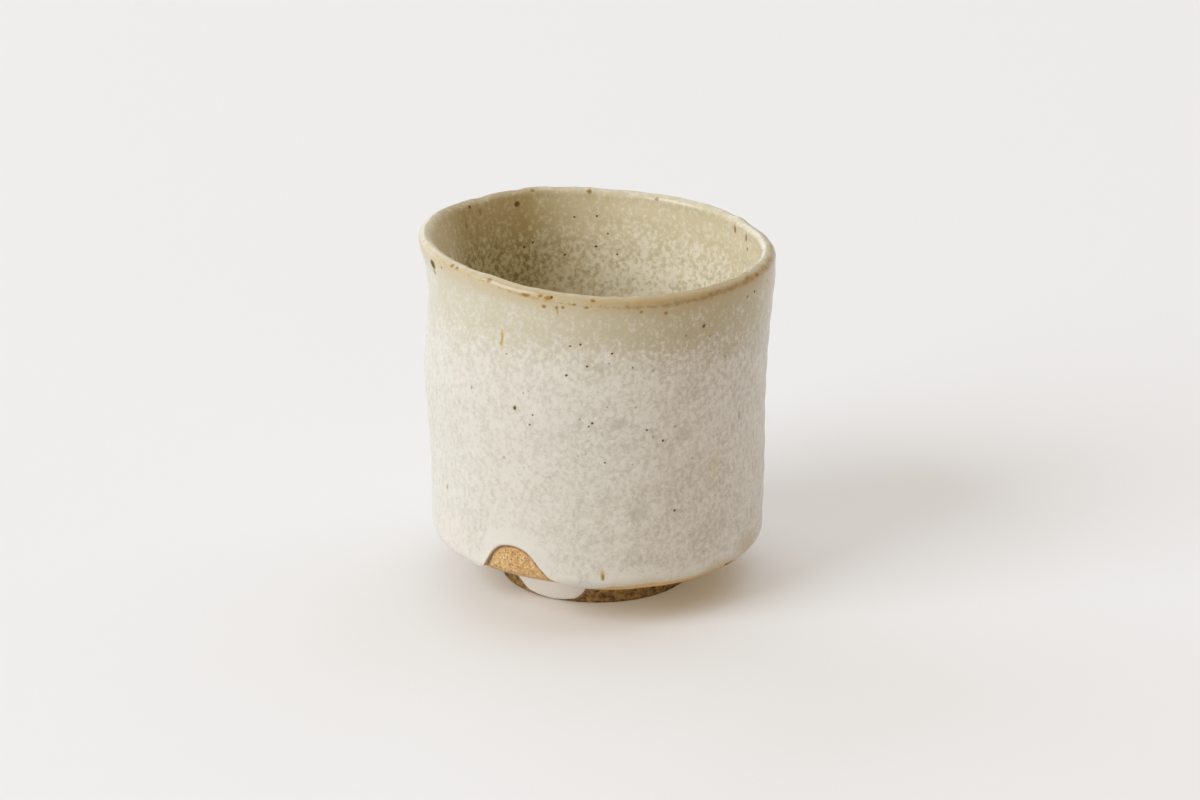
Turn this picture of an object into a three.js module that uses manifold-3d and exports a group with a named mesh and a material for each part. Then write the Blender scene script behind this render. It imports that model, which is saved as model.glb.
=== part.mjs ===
// A hand-thrown stoneware tea cup: a clay body on a luted foot ring, under coats of milky ash glaze.
// Millimetres, +Z up. The origin is on the table, at the centre of the foot.
// Every piece is turned true, as on the wheel, and then all of them are warped alike, as in the kiln.

import * as THREE from "three";
import { mergeVertices } from "three/addons/utils/BufferGeometryUtils.js";
import Module from "manifold-3d";

const { degToRad, lerp } = THREE.MathUtils;

// The glazed outside. Heights are above the table and radii from the wheel's axis.
const LIP_HEIGHT = 78;
const LIP_RADIUS = 39.55;
const LIP_ROUND = 1.6; // height of the rounded top of the lip
const FLARE_HEIGHT = 13; // the wall opens outwards over this much below the lip
const NECK_RADIUS = 38.2; // at the bottom of the flare
const BELLY_RADIUS = 38.2;
const WAIST_RADIUS = 37.6;
const HAUNCH_RADIUS = 37.3; // where the wall starts to turn in to the underside
const HAUNCH_HEIGHT = 12.2;
const HAUNCH_REACH = 12; // how far the turned-in corner runs towards the foot

// The glazed inside.
const LIP_WALL = 3.3; // the wall with its glaze, at the lip
const BASE_WALL = 5.4; // the same, level with the floor
const FLOOR_HEIGHT = 13.2;
const FLOOR_CORNER = 12; // radius between the wall and the floor

// The foot ring.
const FOOT_HEIGHT = 7.9; // from the table to the underside of the clay body
const FOOT_RADIUS = 21.7;
const FOOT_FLARE = 2.6; // the ring is this much wider where it meets the body
const FOOT_WALL = 5.2;
const FOOT_ROUND = 0.7; // worn edges on the table

// The glaze coats.
const GLAZE = 0.6;
const LIP_BAND = 9; // the iron-toned coat of the lip runs this far down the outside
const LIP_BAND_INSIDE = 6;
const GLAZE_EDGE_TURN = degToRad(36); // the outer coat stops this far round the haunch from the underside

// The bare arch that a fingertip left in the outer coat.
const BITE_AZIMUTH = degToRad(-119.5);
const BITE_WIDTH = 20.6; // across its foot
const BITE_FOOT = 10.6; // height where its sides run out into the edge of the coat
const BITE_TOP = 17.4; // height of its crown
const BITE_FULLNESS = 1.6; // 1 is a plain wave, and more is a squarer arch

// The dab of white glaze on the foot ring.
const DAB_AZIMUTH = degToRad(-118);
const DAB_WIDTH = 18.5;
const DAB_ROUND = 4.8; // its two lower corners
const DAB_LIFT = 0.2; // clear of the table

// Clearances between pieces.
const BOND = 0.1; // a coat and the clay under it, or two coats where they meet
const LUTE = 0.3; // the foot ring and the body

// How the kiln warped it.
const LIP_LEAN = 2.2; // the lip rises this much on one side and drops as much on the other
const LEAN_AZIMUTH = degToRad(-171);
const LIP_WAVES = [
  { turns: 2, rise: 0.23, crest: degToRad(17) },
  { turns: 3, rise: 0.36, crest: degToRad(-31) },
];
const WAVE_FADE = 8; // the waves fade down the wall with this power of the height
const SWAY = 1.1; // the wall's centre line wanders this far along X at the lip
const SWAY_DEPTH = 0.5; // and this far along Y
const SWAY_PITCH = 44; // height of one full wander
const SWAY_CREST = 66; // a height where it lies furthest towards +X

// Facets.
const SEGMENTS = 48;
const HAUNCH_STEPS = 3;
const WALL_STEPS = 9;
const LIP_STEPS = 6;
const INSIDE_STEPS = 7;
const CORNER_STEPS = 5;
const ROUND_STEPS = 2;
const BITE_STEPS = 14;
const DAB_STEPS = 5;

const QUARTER = Math.PI / 2;
const COAT = GLAZE + BOND;
const UNDERSIDE = FOOT_HEIGHT - COAT;
const SHOULDER_HEIGHT = LIP_HEIGHT - LIP_ROUND;
const NECK_HEIGHT = LIP_HEIGHT - FLARE_HEIGHT;
const WALL_STATION = (NECK_HEIGHT - HAUNCH_HEIGHT) / 3;
const CORNER_TOP = FLOOR_HEIGHT + FLOOR_CORNER;
const BAND_FOOT = LIP_HEIGHT - LIP_BAND;
const BAND_END = LIP_HEIGHT - LIP_BAND_INSIDE;
const FOOT_TOP = FOOT_HEIGHT - LUTE;
const FOOT_BORE = FOOT_RADIUS - FOOT_WALL;
const BEYOND = 10; // how far a cutter runs past what it cuts

// The section of the glaze's face. Points are (radius, height).

const wallRadius = new THREE.CubicInterpolant(
  [
    HAUNCH_HEIGHT,
    HAUNCH_HEIGHT + WALL_STATION,
    HAUNCH_HEIGHT + 2 * WALL_STATION,
    NECK_HEIGHT,
    SHOULDER_HEIGHT,
  ],
  [HAUNCH_RADIUS, WAIST_RADIUS, BELLY_RADIUS, NECK_RADIUS, LIP_RADIUS],
  1,
);

function outsideAt(height) {
  return new THREE.Vector2(wallRadius.evaluate(height)[0], height);
}

function insideAt(height) {
  const share = (height - FLOOR_HEIGHT) / (SHOULDER_HEIGHT - FLOOR_HEIGHT);
  return new THREE.Vector2(outsideAt(height).x - lerp(BASE_WALL, LIP_WALL, share), height);
}

// The haunch turns from level, at 0, to upright, at a quarter turn.
function haunchAt(turn) {
  const radius = HAUNCH_RADIUS - HAUNCH_REACH * (1 - Math.sin(turn));
  return new THREE.Vector2(radius, lerp(HAUNCH_HEIGHT, UNDERSIDE, Math.cos(turn)));
}

function lipAt(turn) {
  const half = LIP_WALL / 2;
  const radius = LIP_RADIUS - half + half * Math.cos(turn);
  return new THREE.Vector2(radius, SHOULDER_HEIGHT + LIP_ROUND * Math.sin(turn));
}

function cornerAt(turn) {
  const radius = insideAt(CORNER_TOP).x - FLOOR_CORNER * (1 - Math.cos(turn));
  return new THREE.Vector2(radius, CORNER_TOP - FLOOR_CORNER * Math.sin(turn));
}

function sample(pointAt, from, to, steps) {
  return Array.from({ length: steps + 1 }, (_, i) => pointAt(lerp(from, to, i / steps)));
}

// Runs of points as one line, without the points that two runs share.
function chain(...runs) {
  return runs.flat().filter((point, i, all) => i === 0 || point.distanceTo(all[i - 1]) > BOND);
}

const underside = chain(
  [new THREE.Vector2(0, UNDERSIDE)],
  sample(haunchAt, 0, GLAZE_EDGE_TURN, HAUNCH_STEPS),
);
const outside = chain(
  sample(haunchAt, GLAZE_EDGE_TURN, QUARTER, HAUNCH_STEPS),
  sample(outsideAt, HAUNCH_HEIGHT, BAND_FOOT - BOND, WALL_STEPS),
);
const lip = chain(
  sample(outsideAt, BAND_FOOT, SHOULDER_HEIGHT, ROUND_STEPS),
  sample(lipAt, 0, Math.PI, LIP_STEPS),
  sample(insideAt, SHOULDER_HEIGHT, BAND_END, ROUND_STEPS),
);
const inside = chain(
  sample(insideAt, BAND_END - BOND, CORNER_TOP, INSIDE_STEPS),
  sample(cornerAt, 0, QUARTER, CORNER_STEPS),
  [new THREE.Vector2(0, FLOOR_HEIGHT)],
);

// The same line, moved into the wall. The clay lies on the left of the line as it runs.
function sunk(line, depth) {
  return line.map((point, i) => {
    const along = line[Math.min(i + 1, line.length - 1)].clone().sub(line[Math.max(i - 1, 0)]);
    return new THREE.Vector2(-along.y, along.x).setLength(depth).add(point);
  });
}

// Solids.

const wasm = await Module();
wasm.setup();

function solid(geometry) {
  geometry.deleteAttribute("normal");
  geometry.deleteAttribute("uv");
  const merged = mergeVertices(geometry);
  return new wasm.Manifold(
    new wasm.Mesh({
      numProp: 3,
      vertProperties: merged.attributes.position.array,
      triVerts: new Uint32Array(merged.index.array),
    }),
  );
}

function turned(profile) {
  return solid(new THREE.LatheGeometry(profile, SEGMENTS).rotateX(QUARTER));
}

// A coat of glaze under a stretch of its face.
function coat(face) {
  const loop = [...sunk(face, GLAZE).reverse(), ...face];
  const meetsAxis = face.at(-1).x === 0;
  return turned(meetsAxis ? loop : [...loop, loop[0]]);
}

// A prism from the axis out through the wall, of an outline drawn as it is seen from outside.
function prism(outline, azimuth) {
  const out = new THREE.Vector3(Math.cos(azimuth), Math.sin(azimuth), 0);
  const up = new THREE.Vector3(0, 0, 1);
  const right = up.clone().cross(out);
  const geometry = new THREE.ExtrudeGeometry(outline, {
    depth: LIP_RADIUS + BEYOND,
    curveSegments: DAB_STEPS,
    bevelEnabled: false,
  });
  return solid(geometry.applyMatrix4(new THREE.Matrix4().makeBasis(right, up, out)));
}

function clayBody() {
  return turned(sunk(chain(underside, outside, lip, inside), COAT));
}

function footRing() {
  const section = new THREE.Path()
    .moveTo(FOOT_BORE + FOOT_ROUND, 0)
    .lineTo(FOOT_RADIUS - FOOT_ROUND, 0)
    .quadraticCurveTo(FOOT_RADIUS, 0, footRadius(FOOT_ROUND), FOOT_ROUND)
    .lineTo(footRadius(FOOT_TOP), FOOT_TOP)
    .lineTo(FOOT_BORE, FOOT_TOP)
    .lineTo(FOOT_BORE, FOOT_ROUND)
    .quadraticCurveTo(FOOT_BORE, 0, FOOT_BORE + FOOT_ROUND, 0);
  return turned(section.getPoints(ROUND_STEPS));
}

function footRadius(height) {
  return FOOT_RADIUS + (FOOT_FLARE * height) / FOOT_TOP;
}

// Height of the arch at a share of its half width from its crown, -1 to 1.
function biteHeight(share) {
  const wave = (1 + Math.cos(Math.PI * Math.abs(share) ** BITE_FULLNESS)) / 2;
  return lerp(BITE_FOOT, BITE_TOP, wave);
}

function outerGlaze() {
  const reach = BITE_WIDTH / 2;
  const arch = sample((share) => new THREE.Vector2(reach * share, biteHeight(share)), -1, 1, BITE_STEPS);
  const bite = new THREE.Shape([new THREE.Vector2(-reach, 0), ...arch, new THREE.Vector2(reach, 0)]);
  return coat(outside).subtract(prism(bite, BITE_AZIMUTH));
}

function footGlaze() {
  const foot = footRadius(DAB_LIFT) + BOND;
  const top = footRadius(FOOT_TOP) + BOND;
  const sleeve = [
    new THREE.Vector2(foot, DAB_LIFT),
    new THREE.Vector2(foot + GLAZE, DAB_LIFT),
    new THREE.Vector2(top + GLAZE, FOOT_TOP),
    new THREE.Vector2(top, FOOT_TOP),
    new THREE.Vector2(foot, DAB_LIFT),
  ];
  const reach = DAB_WIDTH / 2;
  const dab = new THREE.Shape()
    .moveTo(-reach, FOOT_TOP + BEYOND)
    .lineTo(-reach, DAB_LIFT + DAB_ROUND)
    .quadraticCurveTo(-reach, DAB_LIFT, DAB_ROUND - reach, DAB_LIFT)
    .lineTo(reach - DAB_ROUND, DAB_LIFT)
    .quadraticCurveTo(reach, DAB_LIFT, reach, DAB_LIFT + DAB_ROUND)
    .lineTo(reach, FOOT_TOP + BEYOND);
  return turned(sleeve).intersect(prism(dab, DAB_AZIMUTH));
}

// The kiln leans the cup, waves its lip and makes its centre line wander. The table face stays flat.
function warp(point) {
  const azimuth = Math.atan2(point.y, point.x);
  const out = Math.hypot(point.x, point.y) / LIP_RADIUS;
  const up = Math.max(point.z, 0) / LIP_HEIGHT;
  const lean = LIP_LEAN * Math.sqrt(up) * Math.cos(azimuth - LEAN_AZIMUTH);
  const waves = LIP_WAVES.map(({ turns, rise, crest }) => rise * Math.cos(turns * (azimuth - crest)));
  const wave = waves.reduce((sum, rise) => sum + rise) * up ** WAVE_FADE;
  const wander = (2 * Math.PI * (point.z - SWAY_CREST)) / SWAY_PITCH;
  point.x += SWAY * up ** 2 * Math.cos(wander);
  point.y += SWAY_DEPTH * up ** 2 * Math.sin(wander);
  point.z += out * (lean + wave);
  return point;
}

function fired(name, made, color, roughness) {
  const { vertProperties, triVerts } = made.getMesh();
  const place = new THREE.BufferAttribute(vertProperties, 3);
  const point = new THREE.Vector3();
  for (let i = 0; i < place.count; i += 1) {
    warp(point.fromBufferAttribute(place, i));
    place.setXYZ(i, point.x, point.y, point.z);
  }
  const geometry = new THREE.BufferGeometry()
    .setAttribute("position", place)
    .setIndex(new THREE.BufferAttribute(triVerts, 1));
  geometry.computeVertexNormals();
  const mesh = new THREE.Mesh(
    geometry,
    new THREE.MeshStandardMaterial({ color, roughness, metalness: 0 }),
  );
  mesh.name = name;
  return mesh;
}

const cup = new THREE.Group();
cup.add(
  fired("clay_body", clayBody(), "#c99c6b", 0.9),
  fired("foot_ring", footRing(), "#8a6f49", 0.95),
  fired("outer_glaze", outerGlaze(), "#d5d0c2", 0.5),
  fired("lip_glaze", coat(lip), "#c9bd9b", 0.25),
  fired("inner_glaze", coat(inside), "#b3aa8e", 0.4),
  fired("foot_glaze", footGlaze(), "#d9d5cf", 0.7),
);

export default cup;
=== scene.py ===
from bisect import bisect
from functools import lru_cache
from math import atan2, cos, exp, hypot, pi, radians, sin, sqrt

import bmesh
import bpy
from mathutils import Euler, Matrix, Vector, noise


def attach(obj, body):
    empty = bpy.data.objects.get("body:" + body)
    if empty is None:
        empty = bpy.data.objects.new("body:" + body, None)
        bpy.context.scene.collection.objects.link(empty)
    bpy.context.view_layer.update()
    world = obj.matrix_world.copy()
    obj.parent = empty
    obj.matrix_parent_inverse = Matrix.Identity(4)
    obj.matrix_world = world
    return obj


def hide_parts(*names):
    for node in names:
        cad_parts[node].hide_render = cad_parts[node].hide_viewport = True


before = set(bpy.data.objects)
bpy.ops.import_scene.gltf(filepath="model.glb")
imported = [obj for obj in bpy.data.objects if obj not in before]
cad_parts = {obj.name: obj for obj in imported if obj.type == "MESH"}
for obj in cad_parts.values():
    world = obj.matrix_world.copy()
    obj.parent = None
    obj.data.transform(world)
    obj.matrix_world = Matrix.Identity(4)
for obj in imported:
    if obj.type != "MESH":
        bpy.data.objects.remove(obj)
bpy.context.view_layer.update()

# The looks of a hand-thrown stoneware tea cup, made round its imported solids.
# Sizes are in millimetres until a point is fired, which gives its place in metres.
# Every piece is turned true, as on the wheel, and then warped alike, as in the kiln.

MM = 0.001

# The glazed outside, as in the solids. Radii are from the wheel's axis.
LIP_HEIGHT = 78
LIP_RADIUS = 39.55
LIP_ROUND = 1.6
FLARE_HEIGHT = 13
NECK_RADIUS = 38.2
BELLY_RADIUS = 38.2
WAIST_RADIUS = 37.6
HAUNCH_RADIUS = 37.3
HAUNCH_HEIGHT = 12.2
HAUNCH_REACH = 12

# The glazed inside.
LIP_WALL = 3.3
BASE_WALL = 5.4
FLOOR_HEIGHT = 13.2
FLOOR_CORNER = 12

# The foot ring.
FOOT_HEIGHT = 7.9
FOOT_RADIUS = 21.7
FOOT_FLARE = 2.6
FOOT_WALL = 5.2
FOOT_ROUND = 0.7
FOOT_BORE = FOOT_RADIUS - FOOT_WALL
FOOT_FILLET = 1.3  # slip wiped into the corner under the body
FOOT_CUT = 0.22  # how far the knife strays from a true ring
FOOT_CUT_SIZE = 6
FOOT_GRAIN = 0.09  # height of the coarse grains
FOOT_GRAIN_SIZES = 0.8, 2.2

# The coat of glaze.
COAT = 0.7
GLAZE_EDGE_TURN = radians(36)
GLAZE_SUNK = 0.05  # the glaze melts this far into the clay
GLAZE_DEPTH = COAT + GLAZE_SUNK
GLAZE_BEAD = 0.2  # it gathers into a bead this high along its edge
GLAZE_BEAD_WIDTH = 1.3
GLAZE_EDGE_ROUND = 0.85
EDGE_RAGGED = 0.5  # how far the edge strays
EDGE_WAVES = [(3, 1), (11, 0.5)]  # how often it does round the cup, and the share of each
THIN_RUN = 3  # on the right it gathers this much higher, and runs out thin below
THIN_AZIMUTH = radians(-58)
THIN_SPREAD = radians(44)
THIN_BEAD = 0.2
THIN_RAGGED = 0.8
THIN_WAVES = 14
THIN_TOAST = 1.6  # the brown tone starts this much further up
EDGE_FADE = 28  # the edge's shape is felt this far up the wall

# The bare arch that a fingertip left.
BITE_AZIMUTH = radians(-119.5)
BITE_WIDTHS = 8.6, 10.4  # from its crown to its left and right end
BITE_FULLNESS = 2.2, 1.2  # its left side is steep, and its right side runs out
BITE_FOOT = 10.6
BITE_TOP = 17.2
BITE_SPLAY = 5, 9  # how steeply its sides run out into the edge

# The dab of white glaze on the foot ring.
DAB_AZIMUTH = radians(-118)
DAB_WIDTH = 19.3
DAB_TAPER = 0.13
DAB_LIFT = 0.2
DAB_GAP = 0.2  # under the body
DAB_THICK = 0.6
DAB_FLATNESS = 4  # the higher, the flatter it is within its rim
DAB_CORNERS = 2.6  # the lower, the rounder its corners
DAB_SUNK = 0.15
DAB_SHELL = 0.35
DAB_SEGMENTS = 44, 26

# How the kiln warped it.
LIP_LEAN = 2.2
LEAN_AZIMUTH = radians(-171)
LIP_WAVES = [(2, 0.23, radians(17)), (3, 0.36, radians(-31))]  # turns, rise, crest
WAVE_FADE = 8
SWAY = 1.1
SWAY_DEPTH = 0.5
SWAY_PITCH = 44
SWAY_CREST = 66

# Finer traces of the making: azimuth, rise and spread of each nick in the lip.
LIP_NICKS = [
    (radians(112), 0.42, radians(6)),
    (radians(92), 0.12, radians(2)),
    (radians(46), 0.42, radians(9)),
    (radians(23), -0.28, radians(7)),
    (radians(-126), 0.35, radians(8)),
    (radians(161), 0.36, radians(9)),
    (radians(135), -0.34, radians(2.5)),
    (radians(129), 0.44, radians(25)),
    (radians(86), -0.28, radians(6)),
    (radians(61), 0.23, radians(6)),
    (radians(32), 0.49, radians(2.5)),
    (radians(27), 0.4, radians(45)),
]
NICK_FADE = 7
LIP_UNEVEN = 0.2  # height of the small bumps along the lip
LIP_UNEVEN_SIZE = 2.4
LIP_UNEVEN_FADE = 3
THROWING_RING = 0.07  # height of the spiral that the fingers left
THROWING_PITCH = 6.5
WALL_UNEVEN = 0.12  # height of the wall's slow swells
WALL_UNEVEN_SIZE = 11

QUARTER = pi / 2
UNDERSIDE = FOOT_HEIGHT - COAT
SHOULDER_HEIGHT = LIP_HEIGHT - LIP_ROUND
NECK_HEIGHT = LIP_HEIGHT - FLARE_HEIGHT
CORNER_TOP = FLOOR_HEIGHT + FLOOR_CORNER
WALL_STATION = (NECK_HEIGHT - HAUNCH_HEIGHT) / 3
WALL_HEIGHTS = [HAUNCH_HEIGHT + i * WALL_STATION for i in range(4)] + [SHOULDER_HEIGHT]
WALL_RADII = [HAUNCH_RADIUS, WAIST_RADIUS, BELLY_RADIUS, NECK_RADIUS, LIP_RADIUS]

# Steps of the line that the glaze's face is read from, and of its turns in radians.
FACE_STEP = 0.5
CORNER_TURN = 0.04
LIP_TURN = 0.08
HAUNCH_TURN = 0.03
HALVINGS = 30  # of the outside, to find a height on it
EDGE_ROUNDS = 4  # to settle the glaze's edge on the bare arch
SLANT_STEP = 0.004


def mix(low, high, share):
    return low + (high - low) * share


def smooth(share):
    """0 below 0, 1 above 1 and an even ease between."""
    share = min(max(share, 0), 1)
    return share * share * (3 - 2 * share)


def spread(start, stop, pitch):
    """Even steps of about this pitch from start to just before stop."""
    count = max(round(abs(stop - start) / pitch), 1)
    return [mix(start, stop, i / count) for i in range(count)]


def outside_radius(height):
    """A cubic between the wall's stations, with the mean of two slopes where they meet."""
    rises = [b - a for a, b in zip(WALL_HEIGHTS, WALL_HEIGHTS[1:])]
    slopes = [(b - a) / rise for a, b, rise in zip(WALL_RADII, WALL_RADII[1:], rises)]
    bends = [slopes[0], *((a + b) / 2 for a, b in zip(slopes, slopes[1:])), slopes[-1]]
    i = min(max(bisect(WALL_HEIGHTS, height), 1), len(rises)) - 1
    t = (height - WALL_HEIGHTS[i]) / rises[i]
    ends = mix(WALL_RADII[i], WALL_RADII[i + 1], t * t * (3 - 2 * t))
    return ends + rises[i] * t * (1 - t) * (bends[i] * (1 - t) - bends[i + 1] * t)


def outside_at(height):
    return Vector((outside_radius(height), height))


def inside_at(height):
    share = (height - FLOOR_HEIGHT) / (SHOULDER_HEIGHT - FLOOR_HEIGHT)
    return Vector((outside_radius(height) - mix(BASE_WALL, LIP_WALL, share), height))


def haunch_at(turn):
    radius = HAUNCH_RADIUS - HAUNCH_REACH * (1 - sin(turn))
    return Vector((radius, mix(HAUNCH_HEIGHT, UNDERSIDE, cos(turn))))


def lip_at(turn):
    half = LIP_WALL / 2
    return Vector((LIP_RADIUS - half + half * cos(turn), SHOULDER_HEIGHT + LIP_ROUND * sin(turn)))


def corner_at(turn):
    radius = inside_at(CORNER_TOP).x - FLOOR_CORNER * (1 - cos(turn))
    return Vector((radius, CORNER_TOP - FLOOR_CORNER * sin(turn)))


def face_line():
    """The glaze's face, from the middle of the floor over the lip to the middle of the underside."""
    line = [Vector((0, FLOOR_HEIGHT))]
    line += [corner_at(turn) for turn in spread(QUARTER, 0, CORNER_TURN)]
    line += [inside_at(height) for height in spread(CORNER_TOP, SHOULDER_HEIGHT, FACE_STEP)]
    line += [lip_at(turn) for turn in spread(pi, 0, LIP_TURN)]
    line += [outside_at(height) for height in spread(SHOULDER_HEIGHT, HAUNCH_HEIGHT, FACE_STEP)]
    line += [haunch_at(turn) for turn in spread(QUARTER, 0, HAUNCH_TURN)]
    return line + [haunch_at(0), Vector((0, UNDERSIDE))]


def reaches(line):
    """How far each point lies from the crest of the lip along the line, below 0 on the inside."""
    run = [0]
    for a, b in zip(line, line[1:]):
        run.append(run[-1] + (b - a).length)
    crest = run[max(range(len(line)), key=lambda i: line[i].y)]
    return [here - crest for here in run]


FACE = face_line()
REACH = reaches(FACE)
FACE_OUT = [
    Vector((a.y - b.y, b.x - a.x)).normalized()
    for a, b in zip(FACE[:1] + FACE[:-1], FACE[1:] + FACE[-1:])
]
FLOOR_REACH = REACH[0]
FLOOR_RADIUS = corner_at(QUARTER).x
UNDERSIDE_REACH = REACH[-1]


def on_face(reach, depth=0):
    """Radius and height of a point this far from the lip's crest and this deep under the face."""
    i = min(max(bisect(REACH, reach), 1), len(REACH) - 1)
    share = (reach - REACH[i - 1]) / (REACH[i] - REACH[i - 1])
    return FACE[i - 1].lerp(FACE[i], share) - FACE_OUT[i - 1].lerp(FACE_OUT[i], share) * depth


def outside_reach(height):
    """How far down the outside this height lies."""
    low, high = 0, UNDERSIDE_REACH
    for _ in range(HALVINGS):
        middle = (low + high) / 2
        low, high = (middle, high) if on_face(middle).y > height else (low, middle)
    return low


EDGE_HEIGHT = haunch_at(GLAZE_EDGE_TURN).y
EDGE_REACH = outside_reach(EDGE_HEIGHT)


def fired(radius, height, azimuth):
    """The place in metres of a point as thrown, once the kiln has leaned, waved and swayed it."""
    up = max(height, 0) / LIP_HEIGHT
    lean = LIP_LEAN * sqrt(up) * cos(azimuth - LEAN_AZIMUTH)
    wave = sum(rise * cos(turns * (azimuth - crest)) for turns, rise, crest in LIP_WAVES)
    wander = 2 * pi * (height - SWAY_CREST) / SWAY_PITCH
    x = radius * cos(azimuth) + SWAY * up**2 * cos(wander)
    y = radius * sin(azimuth) + SWAY_DEPTH * up**2 * sin(wander)
    z = height + radius / LIP_RADIUS * (lean + wave * up**WAVE_FADE)
    return Vector((x, y, z)) * MM


def thrown(radius, height, azimuth):
    """The place in millimetres of a point as thrown, where the unevenness is read."""
    return Vector((radius * cos(azimuth), radius * sin(azimuth), height))


def apart(azimuth, other):
    """The angle between two azimuths, at most half a turn either way."""
    return atan2(sin(azimuth - other), cos(azimuth - other))


def humps(azimuth, table):
    """The sum of a table's humps at this azimuth."""
    return sum(rise * exp(-((apart(azimuth, at) / width) ** 2)) for at, rise, width in table)


def bite_height(across):
    """Height of the bare arch this far from its crown, below 0 to the left of it."""
    side = across > 0
    share = abs(across) / BITE_WIDTHS[side]
    if share > 1:
        return BITE_FOOT - BITE_SPLAY[side] * (share - 1)
    return mix(BITE_FOOT, BITE_TOP, (1 + cos(pi * share ** BITE_FULLNESS[side])) / 2)


@lru_cache(maxsize=None)
def edge_reach(azimuth):
    """How far down the outside the glaze runs at this azimuth."""
    round_it = Vector((cos(azimuth), sin(azimuth), 0))
    ragged = EDGE_RAGGED * sum(share * noise.noise(round_it * often) for often, share in EDGE_WAVES)
    reach = EDGE_REACH
    if cos(azimuth - BITE_AZIMUTH) < 0:
        return reach + ragged
    for _ in range(EDGE_ROUNDS):
        across = on_face(reach).x * sin(azimuth - BITE_AZIMUTH)
        reach = outside_reach(max(bite_height(across), EDGE_HEIGHT))
    return reach + ragged


@lru_cache(maxsize=None)
def edge_slant(azimuth):
    """How much longer a step down the wall is than the shortest way to the glaze's edge."""
    rise = edge_reach(azimuth + SLANT_STEP) - edge_reach(azimuth - SLANT_STEP)
    return hypot(1, rise / (2 * SLANT_STEP * HAUNCH_RADIUS))


def thinness(azimuth):
    """1 where the coat ran out thin, 0 where it ends in a full edge."""
    return smooth(2 - 2 * abs(apart(azimuth, THIN_AZIMUTH)) / THIN_SPREAD)


def rim_reach(azimuth):
    """How far down the outside the glaze gathers into a bead."""
    ragged = THIN_RAGGED * noise.noise(Vector((cos(azimuth), sin(azimuth), 1)) * THIN_WAVES)
    return edge_reach(azimuth) - thinness(azimuth) * (THIN_RUN + ragged)


# Meshes.

TURN_STEPS = 34
RING_CUTS = 9
CROWDING = 0.6  # the steps lie closer together towards the bare arch
AZIMUTH_DIGITS = 5  # so that the points of one step share one azimuth
MERGED_WITHIN = 0.001


def spun(section):
    """A bmesh of this section of radii and heights, spun once, and each vertex's number on it."""
    shape = bmesh.new()
    number = shape.verts.layers.int.new("number")
    points = [shape.verts.new((radius, 0, height)) for radius, height in section]
    for i, point in enumerate(points):
        point[number] = i
    lines = [shape.edges.new(pair) for pair in zip(points, points[1:])]
    bmesh.ops.spin(
        shape,
        geom=points + lines,
        cent=(0, 0, 0),
        axis=(0, 0, 1),
        angle=2 * pi,
        steps=TURN_STEPS,
        use_merge=True,
    )
    bmesh.ops.remove_doubles(shape, verts=shape.verts, dist=MERGED_WITHIN)
    rings = [edge for edge in shape.edges if edge.verts[0][number] == edge.verts[1][number]]
    bmesh.ops.subdivide_edges(shape, edges=rings, cuts=RING_CUTS)
    bmesh.ops.triangulate(shape, faces=[face for face in shape.faces if len(face.verts) > 4])
    return shape, number


def azimuth_of(point):
    """A vertex's azimuth, moved so that the steps crowd towards the bare arch."""
    even = atan2(point.co.y, point.co.x)
    return round(even - CROWDING * sin(even - BITE_AZIMUTH), AZIMUTH_DIGITS)


def piece(name, shape, material, *nodes):
    """An object of this shape that rides on the cup and stands for these solids."""
    bmesh.ops.recalc_face_normals(shape, faces=shape.faces)
    mesh = bpy.data.meshes.new(name)
    shape.to_mesh(mesh)
    shape.free()
    mesh.shade_smooth()
    mesh.materials.append(material)
    made = bpy.data.objects.new(name, mesh)
    bpy.context.scene.collection.objects.link(made)
    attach(made, "root")
    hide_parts(*nodes)
    return made


def unevenness(radius, height, azimuth):
    """How far the thrown wall stands out: a spiral that the fingers left, and slow swells."""
    spiral = cos(2 * pi * (height / THROWING_PITCH - azimuth / (2 * pi)))
    swell = noise.noise(thrown(radius, height, azimuth) / WALL_UNEVEN_SIZE)
    return THROWING_RING * spiral + WALL_UNEVEN * swell


def on_glaze(reach, azimuth, depth=0):
    """The place of a point in the glaze."""
    radius, height = on_face(reach, depth)
    calm = smooth(radius / FLOOR_RADIUS)
    lift = calm * unevenness(radius, height, azimuth)
    bump = noise.noise(thrown(radius, height, azimuth) / LIP_UNEVEN_SIZE)
    lift += LIP_UNEVEN * bump * exp(-abs(reach) / LIP_UNEVEN_FADE)
    radius, height = on_face(reach, depth - lift)
    height += humps(azimuth, LIP_NICKS) * exp(-abs(reach) / NICK_FADE)
    return fired(radius, height, azimuth)


LIP_ZONE = 4.5
EDGE_ZONE = 6

# Steps of the glaze's mesh: finest along the lip and the edge, coarse on its back.
INSIDE_STEP = 1.1
LIP_STEP = 0.4
WALL_STEP = 0.85
EDGE_STEP = 0.35
EDGE_TURN = 0.25
BACK_STEP = 3
BACK_LIP_STEP = 0.9


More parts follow.
